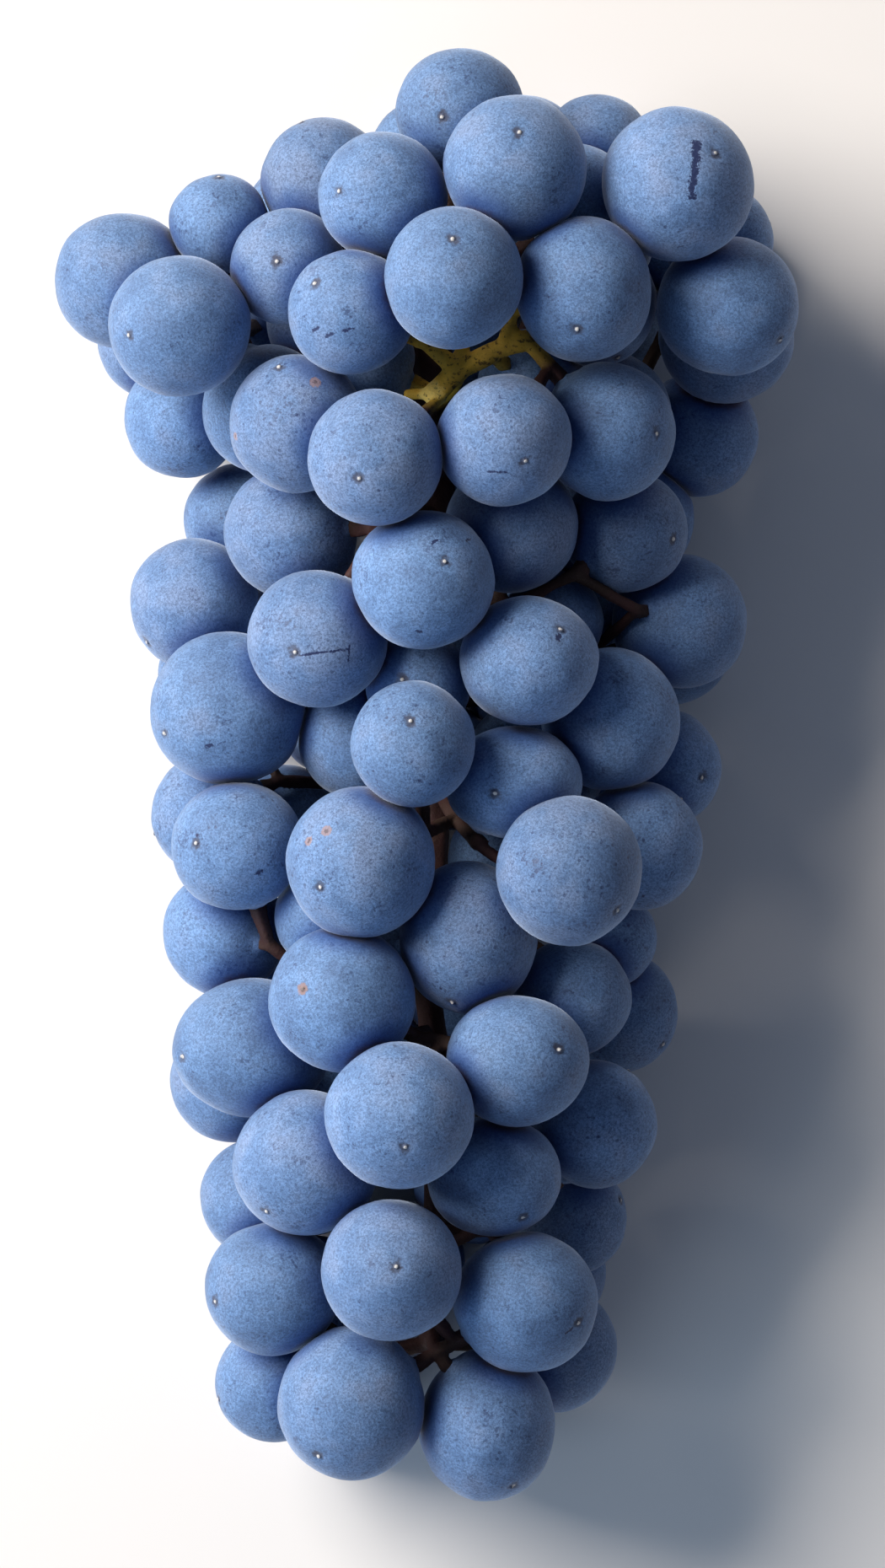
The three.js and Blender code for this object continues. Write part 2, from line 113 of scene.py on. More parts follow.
class Finish(Nodes):
    """A material being put together."""

    def __init__(self, name):
        self.material = bpy.data.materials.new(name)
        self.material.use_nodes = True
        super().__init__(self.material.node_tree)
        self.shader = self.tree.nodes["Principled BSDF"]

    def set(self, **values):
        """Sockets of the shader, by name with _ for a space."""
        for key, value in values.items():
            self.put(self.shader.inputs[key.replace("_", " ")], value)

    def attribute(self, name, output="Fac"):
        return self.add("ShaderNodeAttribute", {"attribute_name": name}, {}, output)

    def own_place(self):
        return self.attribute("own", "Vector")

    def shifted(self, place, offset):
        return self.add("ShaderNodeVectorMath", {"operation": "ADD"}, {0: place, 1: offset})

    def part(self, vector, axis):
        """The X, Y or Z of a vector."""
        return self.add("ShaderNodeSeparateXYZ", {}, {0: vector}, axis)

    def noise(self, place, size, detail=2.0, roughness=0.5):
        """Cloudy noise around 0.5, whose clouds are about size across."""
        values = {"Vector": place, "Scale": 1.0 / size, "Detail": detail, "Roughness": roughness}
        return self.add("ShaderNodeTexNoise", {}, values)

    def ramp(self, value, low, high):
        """0 where value is at low, 1 where it is at high, smooth between."""
        settings = {"interpolation_type": "SMOOTHSTEP"}
        values = {"Value": value, "From Min": low, "From Max": high}
        return self.add("ShaderNodeMapRange", settings, values)

    def blend(self, mask, colour, other):
        """colour where mask is 0, other where it is 1."""
        settings = {"data_type": "RGBA"}
        return self.add("ShaderNodeMix", settings, {0: mask, 6: colour, 7: other}, 2)

    def dimmed(self, colour, amount):
        settings = {"operation": "SCALE"}
        return self.add("ShaderNodeVectorMath", settings, {0: colour, "Scale": amount})

    def distance(self, place, point):
        settings = {"operation": "DISTANCE"}
        return self.add("ShaderNodeVectorMath", settings, {0: place, 1: point}, "Value")

    def line_distance(self, place, start, end):
        """How far place is from the straight line between two points."""
        line = Vector(end) - Vector(start)
        away = self.add("ShaderNodeVectorMath", {"operation": "SUBTRACT"}, {0: place, 1: start})
        share = {0: away, 1: tuple(line / line.length_squared)}
        along = self.add("ShaderNodeVectorMath", {"operation": "DOT_PRODUCT"}, share, "Value")
        along = along.greater(0.0).lesser(1.0)
        foot = {0: tuple(line), "Scale": along}
        nearest = self.add("ShaderNodeVectorMath", {"operation": "SCALE"}, foot)
        return self.distance(away, nearest)

    def bump(self, height, depth, strength=1.0):
        """A normal roughened by height, which is depth high where it is 1."""
        values = {"Height": height, "Distance": depth, "Strength": strength}
        return self.add("ShaderNodeBump", {}, values, "Normal")


# ---- Camera, light and surface -------------------------------------------------------------------

VIEW_HEIGHT = 204.6 * MM  # what the frame takes in, at the height of the upper berries
VIEW_CENTRE = Vector((2.3, -1.4, 45.0)) * MM
CAMERA_DISTANCE = 2.5
SENSOR = 24.0  # mm, along the frame's long side

KEY_DIRECTION = Vector((-0.76, 0.45, 0.58))  # from the bunch to the main light
KEY_DISTANCE = 1.2
KEY_SIZE = 0.8
KEY_POWER = 29.0
KEY_COLOUR = (1.0, 0.98, 0.95)
FILL_DIRECTION = Vector((-0.80, -0.75, 0.30))
FILL_DISTANCE = 1.4
FILL_SIZE = 1.0
FILL_POWER = 10.0
FILL_COLOUR = (0.55, 0.76, 1.0)
SKY_COLOUR = (0.56, 0.70, 1.0)
SKY_STRENGTH = 0.19
BACKDROP_COLOUR = (0.86, 0.84, 0.82)  # what is seen beyond the surface
SURFACE_SIZE = 7.0
SURFACE_COLOUR = (0.88, 0.82, 0.76)
SURFACE_CLOUD = 0.25


def place_camera():
    data = bpy.data.cameras.new("camera")
    data.sensor_fit = "AUTO"
    data.sensor_width = SENSOR
    data.lens = SENSOR * CAMERA_DISTANCE / VIEW_HEIGHT
    data.clip_end = 20.0
    camera = bpy.data.objects.new("camera", data)
    camera.location = VIEW_CENTRE + Vector((0.0, 0.0, CAMERA_DISTANCE))
    bpy.context.scene.collection.objects.link(camera)
    bpy.context.scene.camera = camera


def place_light(name, direction, distance, size, power, colour):
    data = bpy.data.lights.new(name, "AREA")
    data.size = size
    data.energy = power
    data.color = colour
    light = bpy.data.objects.new(name, data)
    light.location = VIEW_CENTRE + direction.normalized() * distance
    light.rotation_euler = direction.to_track_quat("Z", "Y").to_euler()
    bpy.context.scene.collection.objects.link(light)


def light_the_studio():
    place_light("key_light", KEY_DIRECTION, KEY_DISTANCE, KEY_SIZE, KEY_POWER, KEY_COLOUR)
    place_light("fill_light", FILL_DIRECTION, FILL_DISTANCE, FILL_SIZE, FILL_POWER, FILL_COLOUR)
    world = bpy.data.worlds.new("studio")
    world.use_nodes = True
    nodes = Nodes(world.node_tree)
    sky_values = {"Color": SKY_COLOUR, "Strength": SKY_STRENGTH}
    sky = nodes.add("ShaderNodeBackground", {}, sky_values)
    backdrop = nodes.add("ShaderNodeBackground", {}, {"Color": BACKDROP_COLOUR})
    seen = nodes.add("ShaderNodeLightPath", {}, {}, "Is Camera Ray")
    both = nodes.add("ShaderNodeMixShader", {}, {0: seen, 1: sky, 2: backdrop})
    nodes.put(world.node_tree.nodes["World Output"].inputs["Surface"], both)
    bpy.context.scene.world = world
    bpy.context.scene.view_settings.view_transform = "Standard"


# ---- Materials -----------------------------------------------------------------------------------

BLOOM_BLUE = (0.134, 0.235, 0.420)
BLOOM_GREY = (0.155, 0.216, 0.350)
BARE_SKIN = (0.016, 0.022, 0.075)
# painted shade: the navy the skin turns near other berries
PAINTED_SHADE_NAVY = (0.012, 0.048, 0.200)
# the crevice colour: bare skin where bloom is rubbed away, and painted shade between berries
CREVICE_SHADE_AND_BARE_SKIN = (0.030, 0.006, 0.022)
SCAR_BROWN = (0.040, 0.028, 0.034)
# the scar's pale cork, lightened into a painted highlight
SCAR_PALE_AND_GLINT = (0.600, 0.560, 0.520)
TAN_SPOT = (0.330, 0.200, 0.160)
SHEEN_TINT = (0.72, 0.82, 1.0)

# How far across the marks of the bloom are.
CLOUD = 5.5 * MM
PATCH = 4.0 * MM
MOTTLE = 1.3 * MM
SPECK_SPACING = 0.85 * MM
FLECK = 0.62 * MM
GRAIN = 0.34 * MM
DUST = 0.14 * MM
SKIN_RELIEF = 0.10 * MM

# The scar of the flower: how far out its brown ring and its pale point fade, and are full.
RING_FADES = 1.10 * MM
RING_FULL = 0.40 * MM
RING_RAGGED = 1.9 * MM
POINT_FADES = 0.32 * MM
POINT_FULL = 0.16 * MM
POINT_RAGGED = 0.25 * MM
SCAR_SIDE = 2.0 * MM  # this far towards the scar, a mark at the far pole is gone


def bloomed_skin(name, rubs=(), spots=()):
    """Dark skin under a pale dusty bloom. The scar of the flower is on the berry's own +Z axis.

    rubs are (start, end, width) in the berry's own frame, where the bloom is scratched away.
    spots are (centre, radius) of small tan corky rings.
    """
    finish = Finish(name)
    own = finish.own_place()
    place = finish.shifted(own, finish.attribute("seed", "Vector"))
    tone = finish.attribute("tone")
    tucked = finish.attribute("tucked")
    speckled = finish.attribute("speckled")

    clouds = finish.noise(place, CLOUD, 3.0)
    mottle = finish.noise(place, MOTTLE, 3.0, 0.6)
    grain = finish.noise(place, GRAIN, 3.0, 0.7)
    dust = finish.noise(place, DUST, 1.0)

    # Where the bloom is thin: in clouds, specks and flecks. Near other berries the skin is darkened:
    # painted shade, and bloom rubbed away where they touch.
    thin = finish.ramp(clouds + 0.45 * mottle, 0.86, 0.50) * 0.32
    cells = {"Vector": place, "Scale": 1.0 / SPECK_SPACING, "Randomness": 1.0}
    near_speck = finish.add("ShaderNodeTexVoronoi", {}, cells, "Distance")
    luck = finish.part(finish.add("ShaderNodeTexVoronoi", {}, cells, "Color"), "X")
    speck_size = finish.ramp(luck, 0.45, 1.0) * 0.30
    speck = finish.ramp(near_speck - speck_size, 0.06, -0.04)
    speck = speck * finish.ramp(mottle + 0.6 * speckled, 0.52, 0.86)
    patches = finish.noise(place, PATCH, 2.0)
    flecks = finish.noise(place, FLECK, 2.0, 0.6)
    fleck = finish.ramp(flecks + 0.8 * (patches - 0.5) + 0.08 * speckled, 0.70, 0.77)
    # crevices: bloom rubbed away where berries touch, and painted shade in the gap between them
    rubbed_and_shaded = finish.ramp(tucked + 0.25 * (mottle - 0.5), 0.78, 1.04)
    # painted shade: the skin darkens to navy within reach of a neighbouring berry
    painted_shade = finish.ramp(tucked, 0.10, 0.95) * 0.80

    bare = (thin + 0.6 * speck * (0.35 + speckled) + 0.40 * fleck).lesser(1.0)
    for start, end, width in rubs:
        wobbly = finish.line_distance(own, start, end) + (mottle + grain - 1.0) * (width * 1.3)
        mark = finish.ramp(wobbly, width * 0.62, width * 0.30)
        bare = bare.greater(mark * 0.95)

    greyer = finish.ramp(clouds + 0.5 * finish.attribute("grey"), 0.52, 0.90)
    colour = finish.blend(greyer, BLOOM_BLUE, BLOOM_GREY)
    coarse = finish.ramp(grain, 0.34, 0.66)
    powder = finish.ramp(dust, 0.34, 0.66)
    colour = finish.dimmed(colour, tone * (0.58 + 0.56 * coarse + 0.28 * powder))
    colour = finish.blend(bare, colour, BARE_SKIN)
    # painted shade near other berries
    colour = finish.blend(painted_shade, colour, PAINTED_SHADE_NAVY)
    # crevices: rubbed bloom and painted shade
    colour = finish.blend(rubbed_and_shaded * 0.85, colour, CREVICE_SHADE_AND_BARE_SKIN)

    # The flower scar: a small brown ring round a pale point, which is partly the scar's cork and
    # partly a painted highlight on its nub.
    x, y, z = (finish.part(own, axis) for axis in "XYZ")
    off_axis = (x * x + y * y) ** 0.5
    scar_side = finish.ramp(z, 0.0, SCAR_SIDE)
    ragged = off_axis + (mottle - 0.5) * RING_RAGGED
    ring = finish.ramp(ragged, RING_FADES, RING_FULL) * scar_side * 0.72
    point_reach = off_axis + (dust - 0.5) * POINT_RAGGED
    pale_point_and_glint = finish.ramp(point_reach, POINT_FADES, POINT_FULL) * scar_side
    colour = finish.blend(ring, colour, SCAR_BROWN)
    # pale cork and painted highlight on the scar's nub
    colour = finish.blend(pale_point_and_glint, colour, SCAR_PALE_AND_GLINT)

    for centre, radius in spots:
        away = finish.distance(own, centre) + (mottle + grain - 1.0) * (radius * 0.9)
        disc = finish.ramp(away, radius * 1.05, radius * 0.80)
        pit = finish.ramp(away, radius * 0.45, radius * 0.25)
        colour = finish.blend(disc * 0.65, colour, TAN_SPOT)
        colour = finish.blend(pit * 0.6, colour, SCAR_BROWN)

    relief = 0.6 * grain + 0.3 * mottle + 0.25 * dust - 0.3 * bare
    finish.set(
        Base_Color=colour,
        Roughness=0.72 - 0.30 * bare - 0.12 * rubbed_and_shaded,
        Normal=finish.bump(relief, SKIN_RELIEF, 0.8),
        Specular_IOR_Level=0.32,
        Sheen_Weight=0.60,
        Sheen_Roughness=0.34,
        Sheen_Tint=SHEEN_TINT,
    )
    return finish.material


STEM_YELLOW = (0.880, 0.520, 0.050)
STEM_OLIVE = (0.580, 0.350, 0.045)
# the two darkest stem colours: the wood inside the bunch, partly painted shade; the brown also marks
# freckles
STEM_BROWN_AND_SHADE = (0.042, 0.020, 0.012)
STEM_RED_SHADE = (0.052, 0.019, 0.016)
STEM_PALE = (0.950, 0.700, 0.180)
STEM_PATCH = 7.0 * MM
STEM_FRECKLE = 0.7 * MM
STEM_FIBRE = 0.35 * MM
STEM_RELIEF = 0.12 * MM


def green_wood():
    """The stem's skin: yellow and freckled on the fork in front, dark red-brown further in, which is
    partly the wood's own colour and partly painted shade inside the bunch.
    """
    finish = Finish("green_wood")
    own = finish.own_place()
    patches = finish.noise(own, STEM_PATCH, 3.0)
    freckles = finish.noise(own, STEM_FRECKLE, 3.0, 0.65)
    fibre = finish.noise(own, STEM_FIBRE, 2.0)
    knot = finish.attribute("knot")
    colour = finish.blend(finish.ramp(patches, 0.40, 0.62), STEM_YELLOW, STEM_OLIVE)
    colour = finish.blend(finish.ramp(knot + freckles - 0.5, 0.30, 0.80) * 0.8, colour, STEM_PALE)
    # painted shade on the wood inside the bunch, with a red-brown tint of its own
    shade = finish.blend(finish.ramp(patches, 0.45, 0.60), STEM_RED_SHADE, STEM_BROWN_AND_SHADE)
    # the yellow fork in front, the wood further in darkened as painted shade
    colour = finish.blend(finish.attribute("green"), shade, colour)
    brown = finish.ramp(freckles + 0.35 * (patches - 0.5), 0.56, 0.68) * 0.8
    colour = finish.blend(brown, colour, STEM_BROWN_AND_SHADE)
    colour = finish.dimmed(colour, 0.82 + 0.36 * fibre)
    finish.set(
        Base_Color=colour,
        Roughness=0.62 + 0.2 * freckles,
        Normal=finish.bump(freckles + 0.6 * fibre, STEM_RELIEF, 0.7),
        Specular_IOR_Level=0.35,
    )
    return finish.material


def pale_surface():
    finish = Finish("pale_surface")
    own = finish.own_place()
    cloud = finish.noise(own, SURFACE_CLOUD, 2.0)
    colour = finish.dimmed(SURFACE_COLOUR, 0.98 + 0.04 * cloud)
    finish.set(Base_Color=colour, Roughness=0.85 - 0.05 * cloud, Specular_IOR_Level=0.2)
    return finish.material


# ---- Where the CAD model's berries are -----------------------------------------------------------

BALL_TOLERANCE = 0.01  # mm
BALL_CORNERS = 14  # at least this many corners of the CAD node lie on each of its balls
BALL_SPACING = 0.3  # mm; centres closer than this are the same ball
PEDICEL_END = 0.75 * MM  # the stem's corners this close to a CAD ball are its pedicel's end


class Berry:
    """One grape: where it is, how big, and which CAD node holds it."""

    def __init__(self, name, node, centre, radius):
        self.name = name
        self.node = node
        self.centre = Vector(centre)
        self.radius = radius
        self.pedicel = None  # direction to the end of its pedicel
        self.scar = None  # direction to the scar of its flower
        self.stretch = (1.0, 1.0)  # across and along the bunch
        self.rubs = []
        self.spots = []


def sphere_through(points):
    """Centre and radius of the sphere that fits the points best."""
    rows = np.hstack([2.0 * points, np.ones((len(points), 1))])
    centre = np.linalg.lstsq(rows, (points**2).sum(axis=1), rcond=None)[0][:3]
    return centre, np.linalg.norm(points - centre, axis=1).mean()


def balls_in(node):
    """The balls that a CAD node is joined from, each found by the corners that lie on it."""
    shape = bmesh.new()
    shape.from_mesh(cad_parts[node].data)
    bmesh.ops.remove_doubles(shape, verts=shape.verts, dist=0.002 * MM)
    corners = np.array([corner.co for corner in shape.verts]) / MM
    balls = []
    for corner in shape.verts:
        ring = [edge.other_vert(corner).index for edge in corner.link_edges]
        around = corners[[corner.index, *ring]]
        if len(ring) < 5 or np.linalg.matrix_rank(around[1:] - around[0], tol=0.05) < 3:
            continue
        centre, radius = sphere_through(around)
        if any(np.linalg.norm(centre - known) < BALL_SPACING for known, _ in balls):
            continue
        misfit = np.abs(np.linalg.norm(corners - centre, axis=1) - radius)
        if (misfit < BALL_TOLERANCE).sum() >= BALL_CORNERS:
            balls.append((centre, radius))
    shape.free()
    return [(centre * MM, radius * MM) for centre, radius in balls]


def find_berries():
    berries = []
    for node in sorted(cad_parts):
        if node == "stem":
            continue
        balls = sorted(balls_in(node), key=lambda ball: (-ball[0][1], ball[0][0]))
        for number, (centre, radius) in enumerate(balls, 1):
            name = node if node.startswith("berry") else f"{node}_{number:02d}"
            berries.append(Berry("grape_" + name, node, centre, radius))
    return berries


def find_pedicels(berries):
    """The direction from each berry to the flat end of its pedicel, from the CAD stem's corners."""
    corners = np.array([corner.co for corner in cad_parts["stem"].data.vertices])
    for berry in berries:
        away = corners - np.array(berry.centre)
        distance = np.linalg.norm(away, axis=1) - berry.radius
        close = away[distance < PEDICEL_END]
        berry.pedicel = Vector(close.mean(axis=0)).normalized() if len(close) else None


# ---- What is particular to a berry ---------------------------------------------------------------

SEED = 41
OWN_OVAL = (0.975, 1.02)  # least and most stretch of a berry that isn't listed below
SCAR_TILT = 0.35  # how far its scar strays from straight opposite its pedicel

# Where the scar of the flower shows, from the berry's centre as seen from above: across, along (mm).
SCARS = {
    4: (-5.7, 0.5), 6: (0.5, 4.4), 7: (4.8, 3.8), 9: (-0.9, -5.3), 10: (-0.1, 4.7),
    12: (-1.4, 0.5), 13: (-6.6, -1.4), 16: (-2.1, -2.9), 17: (2.8, -2.9), 18: (6.5, -0.5),
    19: (6.4, -1.2), 21: (2.8, 2.3), 24: (-2.9, -1.9), 25: (-8.3, -3.2), 26: (-5.3, 0.4),
    28: (-5.4, -3.4), 29: (-0.3, 3.0), 30: (4.1, 4.1), 31: (-2.5, -1.4), 34: (4.8, -1.3),
    36: (6.3, -5.2), 38: (-2.1, -8.3), 39: (-5.2, 1.5), 40: (-8.5, -1.0), 41: (0.8, -4.0),
    42: (5.2, 1.5), 44: (3.8, -5.3), 45: (-5.1, -6.2), 46: (-7.5, -1.6), 47: (0.7, 0.7),
    48: (6.9, -2.6), 50: (-4.3, -6.8), 51: (3.4, -7.8),
}

# How much wider and longer than a ball a berry is, seen from above.
OVALS = {
    9: (0.96, 1.03), 10: (0.985, 1.02), 30: (1.02, 0.95), 31: (1.07, 0.89), 38: (0.95, 1.05),
    40: (1.06, 0.95), 42: (1.05, 0.95), 44: (1.06, 0.95), 50: (0.99, 1.03), 51: (0.94, 1.06),
}

RUB_STEPS = 3  # straight steps that follow a scratch around the berry

# Scratches in the bloom, from the berry's centre: start, end (mm), and width.
RUBS = {
    7: [((2.4, 4.9), (1.7, -2.0), 1.1)],
    11: [((-0.9, -2.7), (0.3, -2.3), 0.5), ((-3.2, -3.4), (-2.4, -3.0), 0.5),
         ((-4.8, -2.5), (-4.2, -2.2), 0.45)],
    17: [((-2.1, -4.3), (0.4, -4.4), 0.45)],
    21: [((-1.0, -6.8), (-0.2, -7.0), 0.6), ((1.3, 4.7), (1.8, 5.1), 0.5),
         ((5.7, 5.0), (6.2, 5.4), 0.5)],
    24: [((-2.2, -2.3), (0.5, -1.9), 0.35), ((0.5, -1.9), (4.1, -1.5), 0.35),
         ((4.2, -1.1), (4.1, -2.9), 0.35)],
    25: [((-2.7, -5.0), (-2.3, -4.8), 0.7)],
    26: [((2.8, -3.5), (3.2, -3.3), 0.8)],
    30: [((3.8, 3.0), (4.0, 3.3), 0.9)],
    48: [((5.2, -3.9), (6.2, -3.2), 0.4)],
}

# Tan corky spots, from the berry's centre: place (mm) and radius.
SPOTS = {
    15: [((2.5, 5.2), 0.85), ((-8.0, -1.8), 0.6)],
    28: [((-4.4, 4.0), 0.8), ((-6.8, 2.7), 0.7)],
    39: [((-5.3, 1.5), 0.9)],
}


def on_skin(berry, place):
    """A point on the upper side of a berry, from its place as seen from above, in mm."""
    x, y = place[0] * MM, place[1] * MM
    up = math.sqrt(max(berry.radius**2 - x * x - y * y, (0.15 * berry.radius) ** 2))
    return Vector((x, y, up)).normalized() * berry.radius


def describe(berry, chance):
    """Scar, oval and marks: as listed for a berry in front, otherwise away from the pedicel."""
    number = int(berry.node[-2:]) if berry.node.startswith("berry") else None
    sideways = Vector((chance.uniform(-1, 1), chance.uniform(-1, 1), chance.uniform(-1, 1)))
    outwards = -berry.pedicel if berry.pedicel else Vector((0.0, 0.0, 1.0))
    berry.scar = (outwards + SCAR_TILT * sideways).normalized()
    if number in SCARS:
        berry.scar = on_skin(berry, SCARS[number]).normalized()
    own_oval = (chance.uniform(*OWN_OVAL), chance.uniform(*OWN_OVAL))
    berry.stretch = OVALS.get(number, own_oval)
    turn = turned_to(berry.scar).inverted()
    for start, end, width in RUBS.get(number, ()):
        shares = [step / RUB_STEPS for step in range(RUB_STEPS + 1)]
        places = [Vector(start).lerp(Vector(end), share) for share in shares]
        line = [tuple(turn @ on_skin(berry, place)) for place in places]
        berry.rubs += [(*ends, width * MM) for ends in zip(line, line[1:])]
    for place, radius in SPOTS.get(number, ()):
        berry.spots.append((tuple(turn @ on_skin(berry, place)), radius * MM))


def turned_to(direction):
    """The rotation that takes +Z to direction, with +Y kept as near to the bunch's as it can be."""
    z = direction.normalized()
    reference = Vector((0.0, 1.0, 0.0)) if abs(z.y) < 0.9 else Vector((1.0, 0.0, 0.0))
    x = reference.cross(z).normalized()
    y = z.cross(x)
    return Matrix((x, y, z)).transposed()


# ---- Shaping a berry -----------------------------------------------------------------------------

SEGMENTS = 56
SCAR_RINGS = [0.10, 0.20, 0.30, 0.40, 0.52, 0.68, 0.90, 1.20, 1.60, 2.10]  # mm from the scar
PEDICEL_RINGS = [3.2, 2.4, 1.7, 1.1, 0.5]  # mm from the far pole
BODY_RINGS = 26
SCAR_DIMPLE = 0.16 * MM  # how deep
SCAR_DIMPLE_WIDTH = 0.95  # mm
SCAR_NUB = 0.26 * MM
SCAR_NUB_WIDTH = 0.30  # mm
PEDICEL_DIMPLE = 0.35 * MM
PEDICEL_DIMPLE_WIDTH = 2.6  # mm
PEDICEL_COLLAR = 0.75 * MM  # rises to meet the pedicel
PEDICEL_COLLAR_WIDTH = 1.3  # mm
CONTACT_GAP = 0.02 * MM
CONTACT_EDGE = 0.30 * MM  # how softly a pressed face rounds off
TUCKED_FROM = 4.5 * MM  # a neighbour closer than this darkens the skin: painted shade, and bloom rubbed away where berries touch
PLUMPNESS = 0.40 * MM  # the skin's radius beyond the CAD ball's, so that neighbours press
UNEVEN = 0.027  # of the radius
LUMPS = 1.3  # to a radius
DENTS = 3.1  # to a radius, and shallower
DENTS_SHARE = 0.4
UNLIKENESS = 40.0  # how fast the lumps change from a berry to the next, to a metre
REST_ROUNDING = 0.25 * MM


def ring_angles(radius):
    """Angles from the scar to the far pole, closer together at both."""
    near = [step * MM / radius for step in SCAR_RINGS]
    far = [math.pi - step * MM / radius for step in PEDICEL_RINGS]
    inner = np.linspace(near[-1], far[0], BODY_RINGS + 2)[1:-1]
    return [*near, *inner, *far]


def ball_grid(radius):
    """Directions and faces of a ball with a pole at the scar."""
    angles = ring_angles(radius)
    around = np.linspace(0.0, 2.0 * math.pi, SEGMENTS, endpoint=False)
    directions = [(0.0, 0.0, 1.0)]
    for angle in angles:
        ring = np.stack([np.cos(around) * math.sin(angle), np.sin(around) * math.sin(angle),
                         np.full(SEGMENTS, math.cos(angle))], axis=1)
        directions.extend(map(tuple, ring))
    directions.append((0.0, 0.0, -1.0))
    last = len(directions) - 1
    faces = []
    for column in range(SEGMENTS):
        after = (column + 1) % SEGMENTS
        faces.append((0, 1 + column, 1 + after))
        for ring in range(len(angles) - 1):
            low, high = 1 + ring * SEGMENTS, 1 + (ring + 1) * SEGMENTS
            faces.append((low + column, high + column, high + after, low + after))
        end = 1 + (len(angles) - 1) * SEGMENTS
        faces.append((end + column, last, end + after))
    return np.array(directions), faces


def smooth_limit(value, limit, softness):
    """value, but never above limit, with a rounded corner."""
    over = np.clip(0.5 + 0.5 * (value - limit) / softness, 0.0, 1.0)
    return value * (1.0 - over) + limit * over - softness * over * (1.0 - over)


def grown_radius(berry, directions, turn):
    """The radius in every direction: slightly uneven, dimpled and nubbed at the scar."""
    offset = Vector(berry.centre) * UNLIKENESS
    lumps = [noise.noise(Vector(way) * LUMPS + offset) for way in directions]
    dents = [noise.noise(Vector(way) * DENTS - offset) for way in directions]
    radius = berry.radius * (1.0 + UNEVEN * (np.array(lumps) + DENTS_SHARE * np.array(dents)))
    angle = np.arccos(np.clip(directions[:, 2], -1.0, 1.0))
    off_scar = angle * berry.radius / MM
    radius -= SCAR_DIMPLE * np.exp(-((off_scar / SCAR_DIMPLE_WIDTH) ** 2))
    radius += SCAR_NUB * np.exp(-((off_scar / SCAR_NUB_WIDTH) ** 4))
    if berry.pedicel:
        to_pedicel = np.array(turn.inverted() @ berry.pedicel)
        off_pedicel = np.arccos(np.clip(directions @ to_pedicel, -1.0, 1.0)) * berry.radius / MM
        radius -= PEDICEL_DIMPLE * np.exp(-((off_pedicel / PEDICEL_DIMPLE_WIDTH) ** 2))
        radius += PEDICEL_COLLAR * np.exp(-((off_pedicel / PEDICEL_COLLAR_WIDTH) ** 4))
    return radius


def shape_berry(berry, berries):
    """Corners in the row frame, faces, and how tucked away each corner is."""
    directions, faces = ball_grid(berry.radius)
    turn = turned_to(berry.scar)
    radius = grown_radius(berry, directions, turn)
    corners = (directions * radius[:, None]) @ np.array(turn).T
    corners[:, 0] *= berry.stretch[0]
    corners[:, 1] *= berry.stretch[1]
    corners += np.array(berry.centre)
    gap = np.full(len(corners), 1.0)
    for other in berries:
        between = other.centre - berry.centre
        distance = between.length
        if other is berry or distance > berry.radius + other.radius + TUCKED_FROM:
            continue
        normal = np.array(between / distance)
        face = (distance**2 + berry.radius**2 - other.radius**2) / (2.0 * distance)
        face = min(face, berry.radius + 0.5 * (distance - berry.radius - other.radius)) - CONTACT_GAP
        height = (corners - np.array(berry.centre)) @ normal
        pressed = smooth_limit(height, face, CONTACT_EDGE)
        corners += np.outer(pressed - height, normal)
        gap = np.minimum(gap, np.linalg.norm(corners - np.array(other.centre), axis=1) - other.radius)
    corners[:, 2] = -smooth_limit(-corners[:, 2], 0.0, REST_ROUNDING)
    tucked = np.clip(1.0 - gap / TUCKED_FROM, 0.0, 1.0)
    return corners, faces, tucked


def give_attribute(mesh, name, kind, values):
    attribute = mesh.attributes.new(name, kind, "POINT")
    field = "vector" if kind == "FLOAT_VECTOR" else "value"
    attribute.data.foreach_set(field, np.asarray(values, dtype=np.float32).ravel())


def make_berry(berry, berries, material, chance):
    corners, faces, tucked = shape_berry(berry, berries)
    corners -= np.array(berry.centre)
    mesh = bpy.data.meshes.new(berry.name)
    mesh.from_pydata(corners.tolist(), [], faces)
    mesh.shade_smooth()
    count = len(mesh.vertices)
    give_attribute(mesh, "own", "FLOAT_VECTOR", corners @ np.array(turned_to(berry.scar)))
    seed = [chance.uniform(-1.0, 1.0) for _ in range(3)]
    give_attribute(mesh, "seed", "FLOAT_VECTOR", np.tile(seed, (count, 1)))
    give_attribute(mesh, "tone", "FLOAT", np.full(count, chance.uniform(0.86, 1.08)))
    give_attribute(mesh, "speckled", "FLOAT", np.full(count, chance.uniform(0.0, 0.55)))
    give_attribute(mesh, "grey", "FLOAT", np.full(count, chance.uniform(0.0, 0.50)))
    give_attribute(mesh, "tucked", "FLOAT", tucked)
    mesh.materials.append(material)
    piece = bpy.data.objects.new(berry.name, mesh)
    piece.location = berry.centre
    bpy.context.scene.collection.objects.link(piece)
    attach(piece, BODY)
    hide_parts(berry.node)


def make_berries():
    berries = find_berries()
    find_pedicels(berries)
    for berry in berries:
        berry.radius += PLUMPNESS
    chance = random.Random(SEED)
    common = bloomed_skin("bloomed_skin")
    for berry in berries:
        describe(berry, chance)
    for berry in berries:
        material = common
        if berry.rubs or berry.spots:
            material = bloomed_skin("marked_skin_" + berry.name[-2:], berry.rubs, berry.spots)
        make_berry(berry, berries, material, chance)


# ---- The stem ------------------------------------------------------------------------------------

